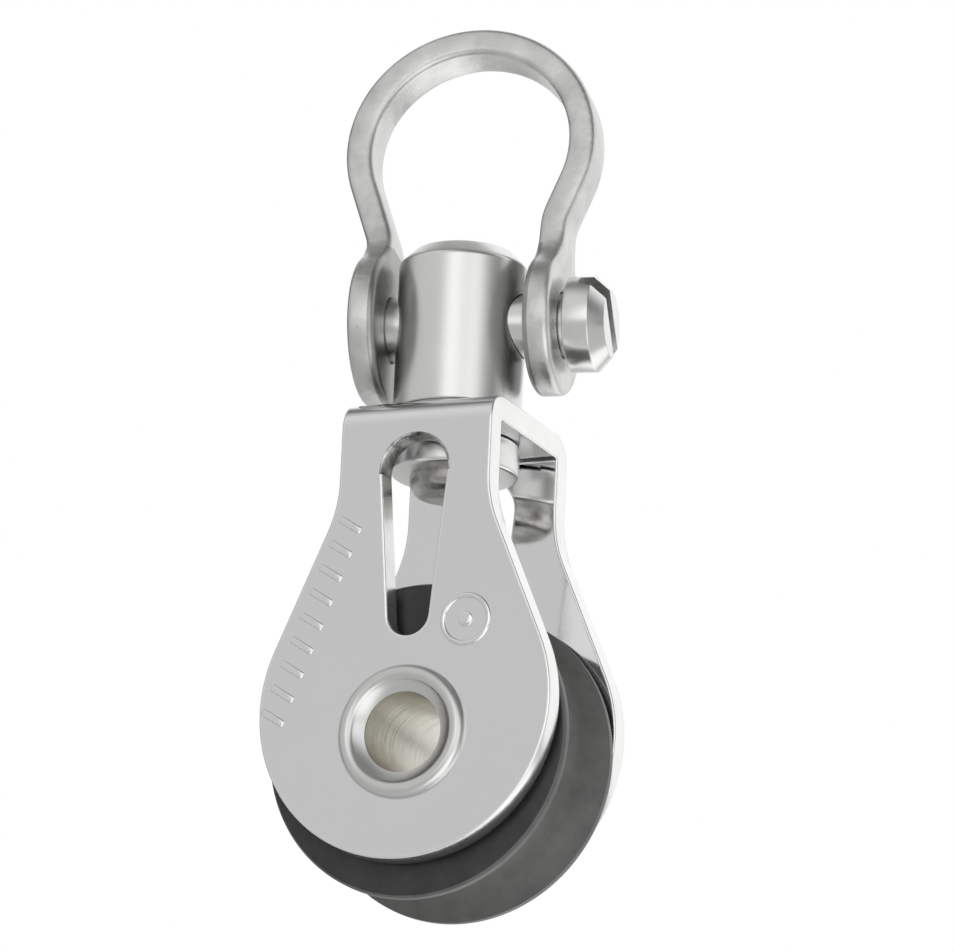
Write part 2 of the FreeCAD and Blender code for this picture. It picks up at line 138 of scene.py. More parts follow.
def makeSteel(name, finish):
    # stainless steel: cloudy colour and roughness, fine lines along one direction, shallow pits
    base = finish["colour"]
    material, tree, shader = startMaterial(name, base, 1, finish["roughness"][1])
    cloud = noiseNode(tree, placeNode(tree, (1, 1, 1)), finish["cloudScale"])
    darker = [channel * finish["cloudDark"] for channel in base]
    colour = rampNode(tree, cloud, *grain["steelSpan"], darker, base)
    tree.links.new(colour, shader.inputs["Base Color"])
    rough = spanNode(tree, cloud, *finish["roughness"])
    tree.links.new(rough, shader.inputs["Roughness"])
    lines = noiseNode(tree, placeNode(tree, finish["lineScale"]), 1, grain["lineDetail"])
    normal = bumpNode(tree, lines, finish["lineStrength"], finish["lineDepth"])
    if finish.get("pitStrength"):
        pits = noiseNode(tree, placeNode(tree, (1, 1, 1)), finish["pitScale"],
                         grain["pitDetail"], grain["pitRoughness"])
        normal = bumpNode(tree, pits, finish["pitStrength"], finish["pitDepth"], normal)
    tree.links.new(normal, shader.inputs["Normal"])
    return material


polishedFinish = {
    "colour": (0.80, 0.80, 0.80), "roughness": (0.05, 0.10), "cloudScale": 90, "cloudDark": 0.985,
    "lineScale": (900, 900, 5000), "lineStrength": 0.02, "lineDepth": 0.00001,
}
shearedFinish = {
    "colour": (0.88, 0.88, 0.87), "roughness": (0.16, 0.30), "cloudScale": 900, "cloudDark": 0.93,
    "lineScale": (700, 6500, 700), "lineStrength": 0.25, "lineDepth": 0.00002,
    "pitScale": 2600, "pitStrength": 0.20, "pitDepth": 0.00003,
}
tornFinish = {
    "colour": (0.80, 0.80, 0.78), "roughness": (0.14, 0.30), "cloudScale": 1500, "cloudDark": 0.10,
    "lineScale": (900, 5000, 900), "lineStrength": 0.5, "lineDepth": 0.00005,
    "pitScale": 2200, "pitStrength": 0.5, "pitDepth": 0.0001,
}
turnedFinish = {
    "colour": (0.79, 0.79, 0.78), "roughness": (0.24, 0.34), "cloudScale": 420, "cloudDark": 0.93,
    "lineScale": (250, 250, 14000), "lineStrength": 0.10, "lineDepth": 0.00001,
    "pitScale": 3600, "pitStrength": 0.05, "pitDepth": 0.00001,
}
pinFinish = dict(turnedFinish, lineScale=(14000, 250, 250), roughness=(0.2, 0.3))
rivetFinish = {
    "colour": (0.68, 0.68, 0.67), "roughness": (0.26, 0.36), "cloudScale": 500, "cloudDark": 0.95,
    "lineScale": (300, 9000, 300), "lineStrength": 0.06, "lineDepth": 0.00001,
}
boreFinish = {
    "colour": (0.68, 0.66, 0.59), "roughness": (0.26, 0.42), "cloudScale": 500, "cloudDark": 0.78,
    "lineScale": (250, 5200, 250), "lineStrength": 0.75, "lineDepth": 0.00005,
}
tumbledFinish = {
    "colour": (0.739, 0.739, 0.722), "roughness": (0.26, 0.44), "cloudScale": 620, "cloudDark": 0.74,
    "lineScale": (900, 900, 900), "lineStrength": 0.10, "lineDepth": 0.00004,
    "pitScale": 2400, "pitStrength": 0.5, "pitDepth": 0.00005,
}
# a darker copy of the bow's steel on the ears' inner faces, standing in for the shade there
shadedFinish = dict(tumbledFinish, colour=(0.44, 0.44, 0.43), roughness=(0.3, 0.45))
peenedFinish = {
    "colour": (0.74, 0.73, 0.70), "roughness": (0.22, 0.42), "cloudScale": 900, "cloudDark": 0.22,
    "lineScale": (600, 600, 600), "lineStrength": 0.5, "lineDepth": 0.00015,
    "pitScale": 1800, "pitStrength": 0.35, "pitDepth": 0.00006,
}
ballFinish = {
    "colour": (0.82, 0.82, 0.82), "roughness": (0.05, 0.10), "cloudScale": 700, "cloudDark": 0.97,
    "lineScale": (4000, 4000, 4000), "lineStrength": 0.02, "lineDepth": 0.00001,
}


def makePlastic(name, finish):
    # moulded or machined plastic: turning lines round the axle, faint dust and a soft sheen
    base = finish["colour"]
    material, tree, shader = startMaterial(name, base, 0, finish["roughness"][1])
    shader.inputs["Specular IOR Level"].default_value = finish["specular"]
    cloud = noiseNode(tree, placeNode(tree, (1, 1, 1)), finish["cloudScale"],
                      grain["dustDetail"], grain["dustRoughness"])
    colour = rampNode(tree, cloud, *grain["dustSpan"], base, finish["dustColour"])
    tree.links.new(colour, shader.inputs["Base Color"])
    tree.links.new(spanNode(tree, cloud, *finish["roughness"]), shader.inputs["Roughness"])
    lines = noiseNode(tree, placeNode(tree, finish["lineScale"]), 1, grain["lineDetail"])
    normal = bumpNode(tree, lines, finish["lineStrength"], finish["lineDepth"])
    tree.links.new(normal, shader.inputs["Normal"])
    return material


acetalFinish = {
    "colour": (0.021, 0.021, 0.022), "dustColour": (0.036, 0.036, 0.036), "specular": 0.5,
    "roughness": (0.34, 0.46), "cloudScale": 900,
    "lineScale": (400, 7000, 400), "lineStrength": 0.12, "lineDepth": 0.00002,
}
# a lighter copy of the same plastic on the groove and rims, painted light, so that they stand out from the darker
# sides
litGrooveFinish = dict(acetalFinish, colour=(0.085, 0.085, 0.083), dustColour=(0.12, 0.12, 0.115))
nylonFinish = {
    "colour": (0.74, 0.74, 0.70), "dustColour": (0.66, 0.65, 0.60), "specular": 0.45,
    "roughness": (0.42, 0.55), "cloudScale": 700,
    "lineScale": (500, 2500, 500), "lineStrength": 0.10, "lineDepth": 0.00002,
}

polishedSteel = makeSteel("polished steel", polishedFinish)
shearedSteel = makeSteel("sheared edge steel", shearedFinish)
tornSteel = makeSteel("torn slot steel", tornFinish)
turnedSteel = makeSteel("turned steel", turnedFinish)
pinSteel = makeSteel("turned pin steel", pinFinish)
rivetSteel = makeSteel("rolled rivet steel", rivetFinish)
boreSteel = makeSteel("bored steel", boreFinish)
tumbledSteel = makeSteel("tumbled steel", tumbledFinish)
shadedSteel = makeSteel("shaded ear steel", shadedFinish)
peenedSteel = makeSteel("peened steel", peenedFinish)
ballSteel = makeSteel("ground ball steel", ballFinish)
blackAcetal = makePlastic("black acetal", acetalFinish)
litGrooveAcetal = makePlastic("painted light groove acetal", litGrooveFinish)
paleNylon = makePlastic("pale nylon", nylonFinish)
print("materials made")

# shared modelling helpers, in millimetres


def arcPoints(centre, radius, start, finish, steps):
    # points on an arc, angles in degrees, both ends included
    points = []
    for step in range(steps + 1):
        angle = math.radians(start + (finish - start) * step / steps)
        points.append((centre[0] + radius * math.cos(angle), centre[1] + radius * math.sin(angle)))
    return points


flatWeight = 80


def finishPiece(shape, name, body, nodes, materials, place=Matrix.Identity(4),
                sharp=sharpAngle):
    # closes, places and shades a piece, then ties it to the frame
    bmesh.ops.remove_doubles(shape, verts=shape.verts, dist=samePlace)
    bmesh.ops.transform(shape, matrix=Matrix.Scale(mm, 4) @ place, verts=shape.verts)
    bmesh.ops.recalc_face_normals(shape, faces=shape.faces)
    for face in shape.faces:
        face.smooth = True
    mesh = bpy.data.meshes.new(name)
    shape.to_mesh(mesh)
    shape.free()
    for material in materials:
        mesh.materials.append(material)
    mesh.set_sharp_from_angle(angle=math.radians(sharp))
    piece = bpy.data.objects.new(name, mesh)
    bpy.context.scene.collection.objects.link(piece)
    weighted = piece.modifiers.new("flat faces stay flat", "WEIGHTED_NORMAL")
    weighted.keep_sharp = True
    weighted.weight = flatWeight
    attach(piece, body)
    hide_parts(*nodes)
    print(name, len(mesh.polygons), "faces")
    return piece


def turnedShape(profile, axis, steps, closed=True):
    # spins an outline of (radius, height) points around its axis
    shape = bmesh.new()
    across = Vector((1, 0, 0)) if abs(axis.x) < 0.5 else Vector((0, 0, 1))
    corners = [shape.verts.new(across * radius + axis * height) for radius, height in profile]
    edges = [shape.edges.new(pair) for pair in zip(corners, corners[1:])]
    if closed:
        edges.append(shape.edges.new((corners[-1], corners[0])))
    bmesh.ops.spin(shape, geom=corners + edges, cent=(0, 0, 0), axis=axis, angle=math.tau,
                   steps=steps, use_merge=True, use_duplicate=False)
    bmesh.ops.remove_doubles(shape, verts=shape.verts, dist=samePlace)
    return shape


def roundedOutline(corners, segments=4):
    # (radius, height, rounding) corners to a list of points with those corners rounded
    points = []
    for index, (x, y, rounding) in enumerate(corners):
        here = Vector((x, y))
        if rounding <= 0:
            points.append((x, y))
            continue
        before = Vector(corners[index - 1][:2]) - here
        after = Vector(corners[(index + 1) % len(corners)][:2]) - here
        half = before.angle(after) / 2
        reach = rounding / math.tan(half)
        middle = here + (before.normalized() + after.normalized()).normalized() * (rounding / math.sin(half))
        first = here + before.normalized() * reach - middle
        last = here + after.normalized() * reach - middle
        sweep = last.angle_signed(first)
        for step in range(segments + 1):
            spoke = first.copy()
            spoke.rotate(Matrix.Rotation(sweep * step / segments, 2))
            points.append(tuple(middle + spoke))
    return points


def reflected(chain, axis, about):
    # a chain of points mirrored in one coordinate and run backwards
    mirrored = []
    for point in reversed(chain):
        moved = list(point)
        moved[axis] = 2 * about - moved[axis]
        mirrored.append(tuple(moved))
    return mirrored


def addRing(shape, points, depth):
    # closed loop of edges; points that repeat the one before are left out
    kept = [point for index, point in enumerate(points)
            if (Vector(point) - Vector(points[index - 1])).length > shortestEdge]
    corners = [shape.verts.new((*point, depth)) for point in kept]
    return [shape.edges.new((corner, corners[index - 1])) for index, corner in enumerate(corners)]


def isInside(place, loop):
    # even-odd test of a flat point against a closed outline
    inside = False
    for index, (x, y) in enumerate(loop):
        beforeX, beforeY = loop[index - 1]
        if (y > place.y) != (beforeY > place.y):
            inside ^= place.x < x + (beforeX - x) * (place.y - y) / (beforeY - y)
    return inside


def fillCap(shape, edges, outer, holes):
    # flat triangles between the sheet's outer outline and its holes
    corners = [edge.verts[0] for edge in edges]
    numbers = {corner: number for number, corner in enumerate(corners)}
    links = [tuple(numbers[corner] for corner in edge.verts) for edge in edges]
    spots = [corner.co.xy for corner in corners]
    triangles, sources = delaunay_2d_cdt(spots, links, [], 0, tiny)[2:4]
    for triangle in triangles:
        picked = [corners[sources[number][0]] for number in triangle]
        middle = sum((corner.co for corner in picked), Vector()) / 3
        if isInside(middle, outer) and not any(isInside(middle, hole) for hole in holes):
            shape.faces.new(picked)


guardWidth = 1.5  # a flat band beside each rounded edge, as a share of the rounding


def roundedSheet(loopsAt, thickness, rounding, segments):
    # flat sheet with rounded edges: loopsAt gives its closed outlines, drawn in by an amount
    shape = bmesh.new()
    layers = []
    for step in range(segments + 1):
        angle = math.pi / 2 * step / segments
        layers.append((rounding * (1 - math.sin(angle)), rounding * (1 - math.cos(angle))))
    layers.insert(0, (rounding * guardWidth, 0))
    layers += [(inset, thickness - depth) for inset, depth in reversed(layers)]
    rings = [[addRing(shape, loop, depth) for loop in loopsAt(inset)] for inset, depth in layers]
    for upper, lower in zip(rings, rings[1:]):
        for upperRing, lowerRing in zip(upper, lower):
            for upperEdge, lowerEdge in zip(upperRing, lowerRing, strict=True):
                shape.faces.new((*upperEdge.verts, *reversed(lowerEdge.verts)))
    for face in shape.faces:
        face.material_index = 1
    outer, *holes = loopsAt(layers[0][0])
    for capRings in (rings[0], rings[-1]):
        fillCap(shape, [edge for ring in capRings for edge in ring], outer, holes)
    return shape


def cutAcross(shape, places, axis):
    # loops of edges across the sheet, for it to bend along
    normal = Vector((axis == 0, axis == 1, 0))
    for place in places:
        bmesh.ops.bisect_plane(shape, geom=shape.verts[:] + shape.edges[:] + shape.faces[:],
                               plane_co=normal * place, plane_no=normal, dist=tiny)


def cutAway(piece, cutterShape, place):
    # takes a closed shape away from a piece for good
    bmesh.ops.transform(cutterShape, matrix=Matrix.Scale(mm, 4) @ place, verts=cutterShape.verts)
    bmesh.ops.recalc_face_normals(cutterShape, faces=cutterShape.faces)
    mesh = bpy.data.meshes.new("cutter")
    cutterShape.to_mesh(mesh)
    cutterShape.free()
    cutter = bpy.data.objects.new("cutter", mesh)
    bpy.context.scene.collection.objects.link(cutter)
    cut = piece.modifiers.new("cut", "BOOLEAN")
    cut.operation = "DIFFERENCE"
    cut.solver = "EXACT"
    cut.object = cutter
    weighted = piece.modifiers[0]
    weighted.show_viewport = False
    bpy.context.view_layer.update()
    evaluated = piece.evaluated_get(bpy.context.evaluated_depsgraph_get())
    result = bpy.data.meshes.new_from_object(evaluated)
    piece.modifiers.remove(cut)
    weighted.show_viewport = True
    piece.data = result
    result.set_sharp_from_angle(angle=math.radians(sharpAngle))
    bpy.data.objects.remove(cutter)


# cheek strap

strap = {
    "thickness": 1.2, "roundRadius": 7.34, "flankLean": 23.3, "neckBlend": 6.2,
    "bendRadius": 1.4, "bendCuts": 12, "edgeRound": 0.09, "edgeSegments": 3,
    "slotTopHeight": 12.63, "slotTopRadius": 1.66, "slotFootHeight": 5.65, "slotFootRadius": 1.03,
    "axleHole": 2.46, "stemHole": 1.65, "tornFoot": 9.6, "tornHalf": 2, "neckHalf": 3.82,
    "roundSteps": 60, "blendSteps": 14, "slotTopSteps": 20, "slotFootSteps": 14, "axleSteps": 96,
    "stemSteps": 48,
}
strapLow, strapHigh = nodeBox("cheek_strap")
strapFace = strapHigh.y
strapTop = strapHigh.z
roundHeight = strapLow.z + strap["roundRadius"]
bendFoot = strapTop - strap["bendRadius"]
bendRun = strap["bendRadius"] * math.pi / 2
bridgeRun = strapFace - strap["bendRadius"]
patternMiddle = bendFoot + bendRun + bridgeRun


def strapLoops(inset):
    # outlines of the flat, unfolded strap: y runs from the front cheek over the bridge to the rear one
    lean = math.radians(strap["flankLean"])
    radius = strap["roundRadius"] - inset
    blend = strap["neckBlend"] + inset
    neck = strap["neckHalf"]
    centreX = neck + strap["neckBlend"]
    tangentX = strap["roundRadius"] * math.cos(lean)
    tangentZ = roundHeight + strap["roundRadius"] * math.sin(lean)
    blendZ = tangentZ + (tangentX - neck) / math.tan(lean) + strap["neckBlend"] * math.tan(lean / 2)
    edge = arcPoints((0, roundHeight), radius, 270, 180 - strap["flankLean"], strap["roundSteps"])
    edge += arcPoints((-centreX, blendZ), blend, -strap["flankLean"], 0, strap["blendSteps"])
    edge += reflected(edge, 1, patternMiddle)
    outer = edge + reflected(edge, 0, 0)
    topRadius, footRadius = strap["slotTopRadius"] + inset, strap["slotFootRadius"] + inset
    topZ, footZ = strap["slotTopHeight"], strap["slotFootHeight"]
    taper = math.degrees(math.asin((topRadius - footRadius) / (topZ - footZ)))
    slotSide = arcPoints((0, topZ), topRadius, 90, 180 + taper, strap["slotTopSteps"])
    slotSide += arcPoints((0, footZ), footRadius, 180 + taper, 270, strap["slotFootSteps"])
    slot = slotSide + reflected(slotSide, 0, 0)
    axle = arcPoints((0, 0), strap["axleHole"] + inset, 0, 360, strap["axleSteps"])
    stem = arcPoints((0, patternMiddle), strap["stemHole"] + inset, 0, 360,
                     strap["stemSteps"])
    rear = [reflected(loop, 1, patternMiddle) for loop in (slot, axle)]
    return [outer, slot, axle, stem, *rear]


def foldStrap(point):
    # x across, y along the unfolded strap, z down from its outer face: to the folded strap
    side = -1 if point.y <= patternMiddle else 1
    along = point.y if side < 0 else 2 * patternMiddle - point.y
    depth = point.z
    bend = strap["bendRadius"]
    if along <= bendFoot:
        return Vector((point.x, side * (strapFace - depth), along))
    if along >= bendFoot + bendRun:
        return Vector((point.x, side * (patternMiddle - along), strapTop - depth))
    angle = (along - bendFoot) / bend
    reach = bend - depth
    return Vector((point.x, side * (strapFace - bend + reach * math.cos(angle)),
                   bendFoot + reach * math.sin(angle)))


# plain pressed bars in a row beside the flank, and a ring with a dot
marks = {
    "rise": 0.08, "barWidth": 0.36, "barLength": 1.3, "barCount": 9, "barTurn": 58,
    "rowStart": (-6.62, 1.0), "rowEnd": (-3.15, 10.1),
    "ringPlace": (2.95, 5.2), "ringRadius": 1.15, "ringWidth": 0.26, "dotRadius": 0.36,
    "barBevel": 0.9, "barSegments": 3, "ringSegments": 12, "ringSteps": 64, "dotSegments": 32,
    "dotRings": 16,
}


def stamp(shape, mark, place, turn=0):
    # leaves a small closed shape half sunk in the front cheek of the unfolded strap
    spot = Matrix.Translation((*place, 0)) @ Matrix.Rotation(math.radians(turn), 4, "Z")
    bmesh.ops.transform(mark, matrix=spot, verts=mark.verts)
    mesh = bpy.data.meshes.new("mark")
    mark.to_mesh(mesh)
    mark.free()
    shape.from_mesh(mesh)
    bpy.data.meshes.remove(mesh)


def addMarks(shape):
    start, end = Vector(marks["rowStart"]), Vector(marks["rowEnd"])
    for index in range(marks["barCount"]):
        bar = bmesh.new()
        bmesh.ops.create_cube(bar, size=1)
        bmesh.ops.scale(bar, vec=(marks["barWidth"], marks["barLength"], marks["rise"] * 2), verts=bar.verts)
        bmesh.ops.bevel(bar, geom=bar.edges[:], offset=marks["rise"] * marks["barBevel"],
                        segments=marks["barSegments"], affect="EDGES", profile=0.5, material=-1)
        stamp(shape, bar, start.lerp(end, index / (marks["barCount"] - 1)), marks["barTurn"])
    hoop = bmesh.new()
    bmesh.ops.create_circle(hoop, segments=marks["ringSegments"], radius=marks["ringWidth"] / 2)
    bmesh.ops.rotate(hoop, matrix=Matrix.Rotation(math.pi / 2, 3, "X"), verts=hoop.verts)
    bmesh.ops.scale(hoop, vec=(1, 1, marks["rise"] * 2 / marks["ringWidth"]), verts=hoop.verts)
    bmesh.ops.translate(hoop, vec=(marks["ringRadius"], 0, 0), verts=hoop.verts)
    bmesh.ops.spin(hoop, geom=hoop.verts[:] + hoop.edges[:], cent=(0, 0, 0), axis=(0, 0, 1), angle=math.tau,
                   steps=marks["ringSteps"], use_merge=True)
    stamp(shape, hoop, marks["ringPlace"])
    dot = bmesh.new()
    bmesh.ops.create_uvsphere(dot, u_segments=marks["dotSegments"], v_segments=marks["dotRings"],
                              radius=marks["dotRadius"])
    bmesh.ops.scale(dot, vec=(1, 1, marks["rise"] / marks["dotRadius"]), verts=dot.verts)
    stamp(shape, dot, marks["ringPlace"])


def makeStrap():
    shape = roundedSheet(strapLoops, strap["thickness"], strap["edgeRound"], strap["edgeSegments"])
    bends = [bendFoot + bendRun * cut / strap["bendCuts"] for cut in range(strap["bendCuts"] + 1)]
    cutAcross(shape, bends + [2 * patternMiddle - place for place in bends], 1)
    for face in shape.faces:
        middle = face.calc_center_median()
        upSlot = abs(middle.x) < strap["tornHalf"] and strap["tornFoot"] < middle.y < bendFoot
        if face.material_index == 1 and upSlot:
            face.material_index = 2
    addMarks(shape)
    for vert in shape.verts:
        vert.co = foldStrap(vert.co)
    return finishPiece(shape, "cheekStrapSheet", "cheeks", ["cheek_strap"],
                       [polishedSteel, shearedSteel, tornSteel], sharp=50)


makeStrap()

# hollow rivet

rivet = {
    "bore": 1.9, "wall": 0.55, "rollRadius": 0.425, "rollRing": 2.775, "coneStart": 30, "coneSlope": 2,
    "lipOut": 0.02, "lipUp": 0.01, "lipDown": 0.06, "rollSteps": 20, "steps": 160,
}


def makeRivet():
    roll = rivet["rollRadius"]
    ring = rivet["rollRing"]
    slant = math.radians(rivet["coneStart"])
    lipX = ring - roll * math.cos(slant)
    lipY = strapFace + roll * math.sin(slant)
    coneFoot = lipY - (lipX - rivet["bore"]) / rivet["coneSlope"]
    half = arcPoints((ring, strapFace), roll, 180 - rivet["coneStart"], 0, rivet["rollSteps"])
    half += [(rivet["bore"] + rivet["wall"], strapFace)]
    mirrored = [(radius, -height) for radius, height in reversed(half)]
    lip = rivet["bore"] + rivet["lipOut"]
    outline = [(lip, coneFoot + rivet["lipUp"])] + half + mirrored
    outline += [(lip, -coneFoot - rivet["lipUp"]), (rivet["bore"], -coneFoot + rivet["lipDown"])]
    outline += [(rivet["bore"], coneFoot - rivet["lipDown"])]
    shape = turnedShape(outline, Vector((0, 1, 0)), rivet["steps"])
    for face in shape.faces:
        centre = face.calc_center_median()
        if math.hypot(centre.x, centre.z) < lip:
            face.material_index = 1
    return finishPiece(shape, "axleRivetTube", "cheeks", ["axle_rivet"],
                       [rivetSteel, boreSteel], sharp=35)


makeRivet()

# ball bearing

bearing = {
    "pitch": 3.72, "track": 0.78, "innerLand": 3.35, "outerLand": 4.09, "outerRace": 4.95,
    "raceHalf": 1.5, "shield": 0.4, "shieldBore": 3.47, "edge": 0.08, "ballRadius": 0.75,
    "trackSteps": 16, "ballDetail": 4, "steps": 128,
}


def trackPoints(land, facing):
    # the ball track's arc, from one land to the other
    half = math.degrees(math.acos(abs(bearing["pitch"] - land) / bearing["track"]))
    middle = 180 if facing > 0 else 0
    sweep = half if facing > 0 else -half
    return arcPoints((bearing["pitch"], 0), bearing["track"], middle - sweep, middle + sweep,
                     bearing["trackSteps"])


def makeRace(name, node, body, land, wall, halfWidth, facing):
    edge = bearing["edge"]
    inward = edge if facing > 0 else -edge
    outline = [(wall + inward, halfWidth), (land - inward, halfWidth), (land, halfWidth - edge)]
    outline += trackPoints(land, facing)
    outline += [(land, edge - halfWidth), (land - inward, -halfWidth), (wall + inward, -halfWidth)]
    outline += [(wall, edge - halfWidth), (wall, halfWidth - edge)]
    shape = turnedShape(outline, Vector((0, 1, 0)), bearing["steps"])
    return finishPiece(shape, name, body, [node], [ballSteel])


def makeShield(name, node, side):
    edge = bearing["edge"]
    near, far = bearing["raceHalf"] * side, (bearing["raceHalf"] + bearing["shield"]) * side
    bore, out = bearing["shieldBore"], bearing["outerRace"]
    outline = roundedOutline([(bore, near, edge), (out, near, edge), (out, far, edge), (bore, far, edge)])
    shape = turnedShape(outline, Vector((0, 1, 0)), bearing["steps"])
    return finishPiece(shape, name, "sheave_wheel", [node], [paleNylon])


def makeBall(node):
    low, high = nodeBox(node)
    shape = bmesh.new()
    bmesh.ops.create_icosphere(shape, subdivisions=bearing["ballDetail"], radius=bearing["ballRadius"])
    return finishPiece(shape, node.replace("ball_", "bearingBall"), "ball_set", [node],
                       [ballSteel], Matrix.Translation((low + high) / 2))


innerHigh = nodeBox("inner_race")[1]
makeRace("innerRaceRing", "inner_race", "cheeks", bearing["innerLand"], rivet["bore"] + rivet["wall"],
         innerHigh.y, 1)
makeRace("outerRaceRing", "outer_race", "sheave_wheel", bearing["outerLand"], bearing["outerRace"],
         bearing["raceHalf"], -1)
makeShield("bearingShieldFront", "bearing_shield_front", -1)
makeShield("bearingShieldRear", "bearing_shield_rear", 1)
for node in sorted(frame["nodes"]):
    if node.startswith("ball_"):
        makeBall(node)

# sheave

wheel = {
    "grooveRoot": 5.95, "grooveRound": 2.8, "rimRound": 0.21, "bore": 4.95, "boreEdge": 0.1,
    "sideFacing": 0.91, "rimSteps": 6, "grooveSteps": 48, "steps": 256,
}
wheelHigh = nodeBox("sheave")[1]


def makeSheave():
    rim = wheelHigh.z
    half = wheelHigh.y
    edge = wheel["rimRound"]
    centre = wheel["grooveRoot"] + wheel["grooveRound"]
    lip = math.degrees(math.acos((centre - rim) / wheel["grooveRound"]))
    outline = [(wheel["bore"], wheel["boreEdge"] - half), (wheel["bore"] + wheel["boreEdge"], -half)]
    outline += arcPoints((rim - edge, edge - half), edge, 270, 360, wheel["rimSteps"])
    outline += arcPoints((centre, 0), wheel["grooveRound"], 180 + lip, 180 - lip, wheel["grooveSteps"])
    outline += arcPoints((rim - edge, half - edge), edge, 0, 90, wheel["rimSteps"])
    outline += [(wheel["bore"] + wheel["boreEdge"], half), (wheel["bore"], half - wheel["boreEdge"])]
    shape = turnedShape(outline, Vector((0, 1, 0)), wheel["steps"])
    shape.normal_update()
    for face in shape.faces:
        # faces that don't face sideways, the groove and rims, get the lighter plastic: painted light
        if abs(face.normal.y) < wheel["sideFacing"]:
            face.material_index = 1
    return finishPiece(shape, "sheaveWheel", "sheave_wheel", ["sheave"],
                       [blackAcetal, litGrooveAcetal], sharp=35)


makeSheave()

# swivel post, washer and collar

swivel = {
    "postRadius": 3.06, "stemRadius": 1.6, "chamferHeight": 0.76, "chamferDepth": 0.78, "edge": 0.12,
    "washerRadius": 2.7, "collarRadius": 3.05, "collarEdge": 0.22, "peenRadius": 2.1, "peenRound": 0.6,
    "shoulderRound": 0.35, "crownRound": 0.3, "washerEdge": 0.04, "crossHole": 1.55, "holeSteps": 96,
    "holeReach": 4, "roundSegments": 6, "steps": 192,
}
postLow, postHigh = nodeBox("swivel_post")
washerLow, washerHigh = nodeBox("swivel_washer")
collarLow, collarHigh = nodeBox("swivel_collar")


def makePost():
    top = postHigh.z
    radius = swivel["postRadius"]
    edge = swivel["edge"]
    rounding = swivel["peenRound"]
    outline = roundedOutline([
        (0, postLow.z, 0),
        (swivel["peenRadius"], postLow.z, rounding),
        (swivel["peenRadius"], collarLow.z, 0),
        (swivel["stemRadius"], collarLow.z, 0),
        (swivel["stemRadius"], washerHigh.z, 0),
        (radius, washerHigh.z, edge),
        (radius, top - swivel["chamferHeight"], swivel["shoulderRound"]),
        (radius - swivel["chamferDepth"], top, swivel["crownRound"]),
        (0, top, 0),
    ], swivel["roundSegments"])
    shape = turnedShape(outline, Vector((0, 0, 1)), swivel["steps"], closed=False)
    for face in shape.faces:
        if face.calc_center_median().z < collarLow.z:
            face.material_index = 1
    piece = finishPiece(shape, "swivelPostBarrel", "swivel_head", ["swivel_post"],
                        [turnedSteel, peenedSteel], swivelPlace, sharp=35)
    hole = bmesh.new()
    bmesh.ops.create_cone(hole, cap_ends=True, segments=swivel["holeSteps"], radius1=swivel["crossHole"],
                          radius2=swivel["crossHole"], depth=radius * swivel["holeReach"])
    along = Matrix.Translation((0, 0, pinCentre.z)) @ Matrix.Rotation(math.pi / 2, 4, "Y")
    cutAway(piece, hole, swivelPlace @ along)
    return piece


def makeRing(name, node, radius, low, high, edge):
    bore = swivel["stemRadius"]
    outline = roundedOutline([(bore, low, 0), (radius, low, edge), (radius, high, edge), (bore, high, 0)])
    shape = turnedShape(outline, Vector((0, 0, 1)), swivel["steps"])
    return finishPiece(shape, name, "swivel_head", [node], [turnedSteel],
                       swivelPlace, sharp=35)


makePost()
makeRing("swivelWasherRing", "swivel_washer", swivel["washerRadius"], washerLow.z, washerHigh.z,
         swivel["washerEdge"])
makeRing("swivelCollarRing", "swivel_collar", swivel["collarRadius"], collarLow.z, collarHigh.z,
         swivel["collarEdge"])

# shackle bow

bow = {
    "thickness": 1.32, "halfDepth": 1.15, "radius": 5.48, "height": 9.18, "lean": 20, "blend": 3.0,
    "headGap": 3.74, "threadGap": 3.36, "headEar": 3.35, "threadEar": 3.65, "earBlend": 2.5,
    "pinHole": 1.55, "edgeRound": 0.3, "edgeSegments": 4, "cutSpacing": 0.22, "shadeReach": 0.4,
    "earSteps": 40, "flareSteps": 14, "holeSteps": 72,
}


def legRuns(gap):
    # lengths of one leg's straight, blend and leaning stretches, and its middle plane
    lean = math.radians(bow["lean"])
    middle = gap + bow["thickness"] / 2
    leaveX = bow["radius"] * math.cos(lean)
    leaveZ = bow["height"] - bow["radius"] * math.sin(lean)
    meetZ = leaveZ - (leaveX - middle) / math.tan(lean)
    reach = bow["blend"] * math.tan(lean / 2)
    leaning = math.hypot(leaveX - middle, leaveZ - meetZ) - reach
    return {"middle": middle, "straight": meetZ - reach, "blend": bow["blend"] * lean, "leaning": leaning}


headLeg = legRuns(bow["headGap"])
threadLeg = legRuns(bow["threadGap"])
crownRun = bow["radius"] * math.radians(180 + 2 * bow["lean"])
legLength = {}
for legName, leg in (("head", headLeg), ("thread", threadLeg)):
    legLength[legName] = leg["straight"] + leg["blend"] + leg["leaning"]
bowLength = legLength["thread"] + crownRun + legLength["head"]


def bendBow(point):
    # x along the flat strip from the threaded ear's centre, y across it, z out from its middle
    along, depth, out = point
    if along <= legLength["thread"]:
        return legPoint(threadLeg, along, depth, out, -1)
    if along >= bowLength - legLength["head"]:
        return legPoint(headLeg, bowLength - along, depth, out, 1)
    angle = math.radians(180 + bow["lean"]) - (along - legLength["thread"]) / bow["radius"]
    reach = bow["radius"] + out
    return Vector((reach * math.cos(angle), depth, bow["height"] + reach * math.sin(angle)))


def legPoint(leg, up, depth, out, side):
    lean = math.radians(bow["lean"])
    if up <= leg["straight"]:
        return Vector((side * (leg["middle"] + out), depth, up))
    around = bow["blend"] - out
    centreX = leg["middle"] + bow["blend"]
    past = up - leg["straight"]
    turn = min(past / bow["blend"], lean)
    x = centreX - around * math.cos(turn)
    z = leg["straight"] + around * math.sin(turn)
    beyond = max(past - leg["blend"], 0)
    return Vector((side * (x + beyond * math.sin(lean)), depth, z + beyond * math.cos(lean)))


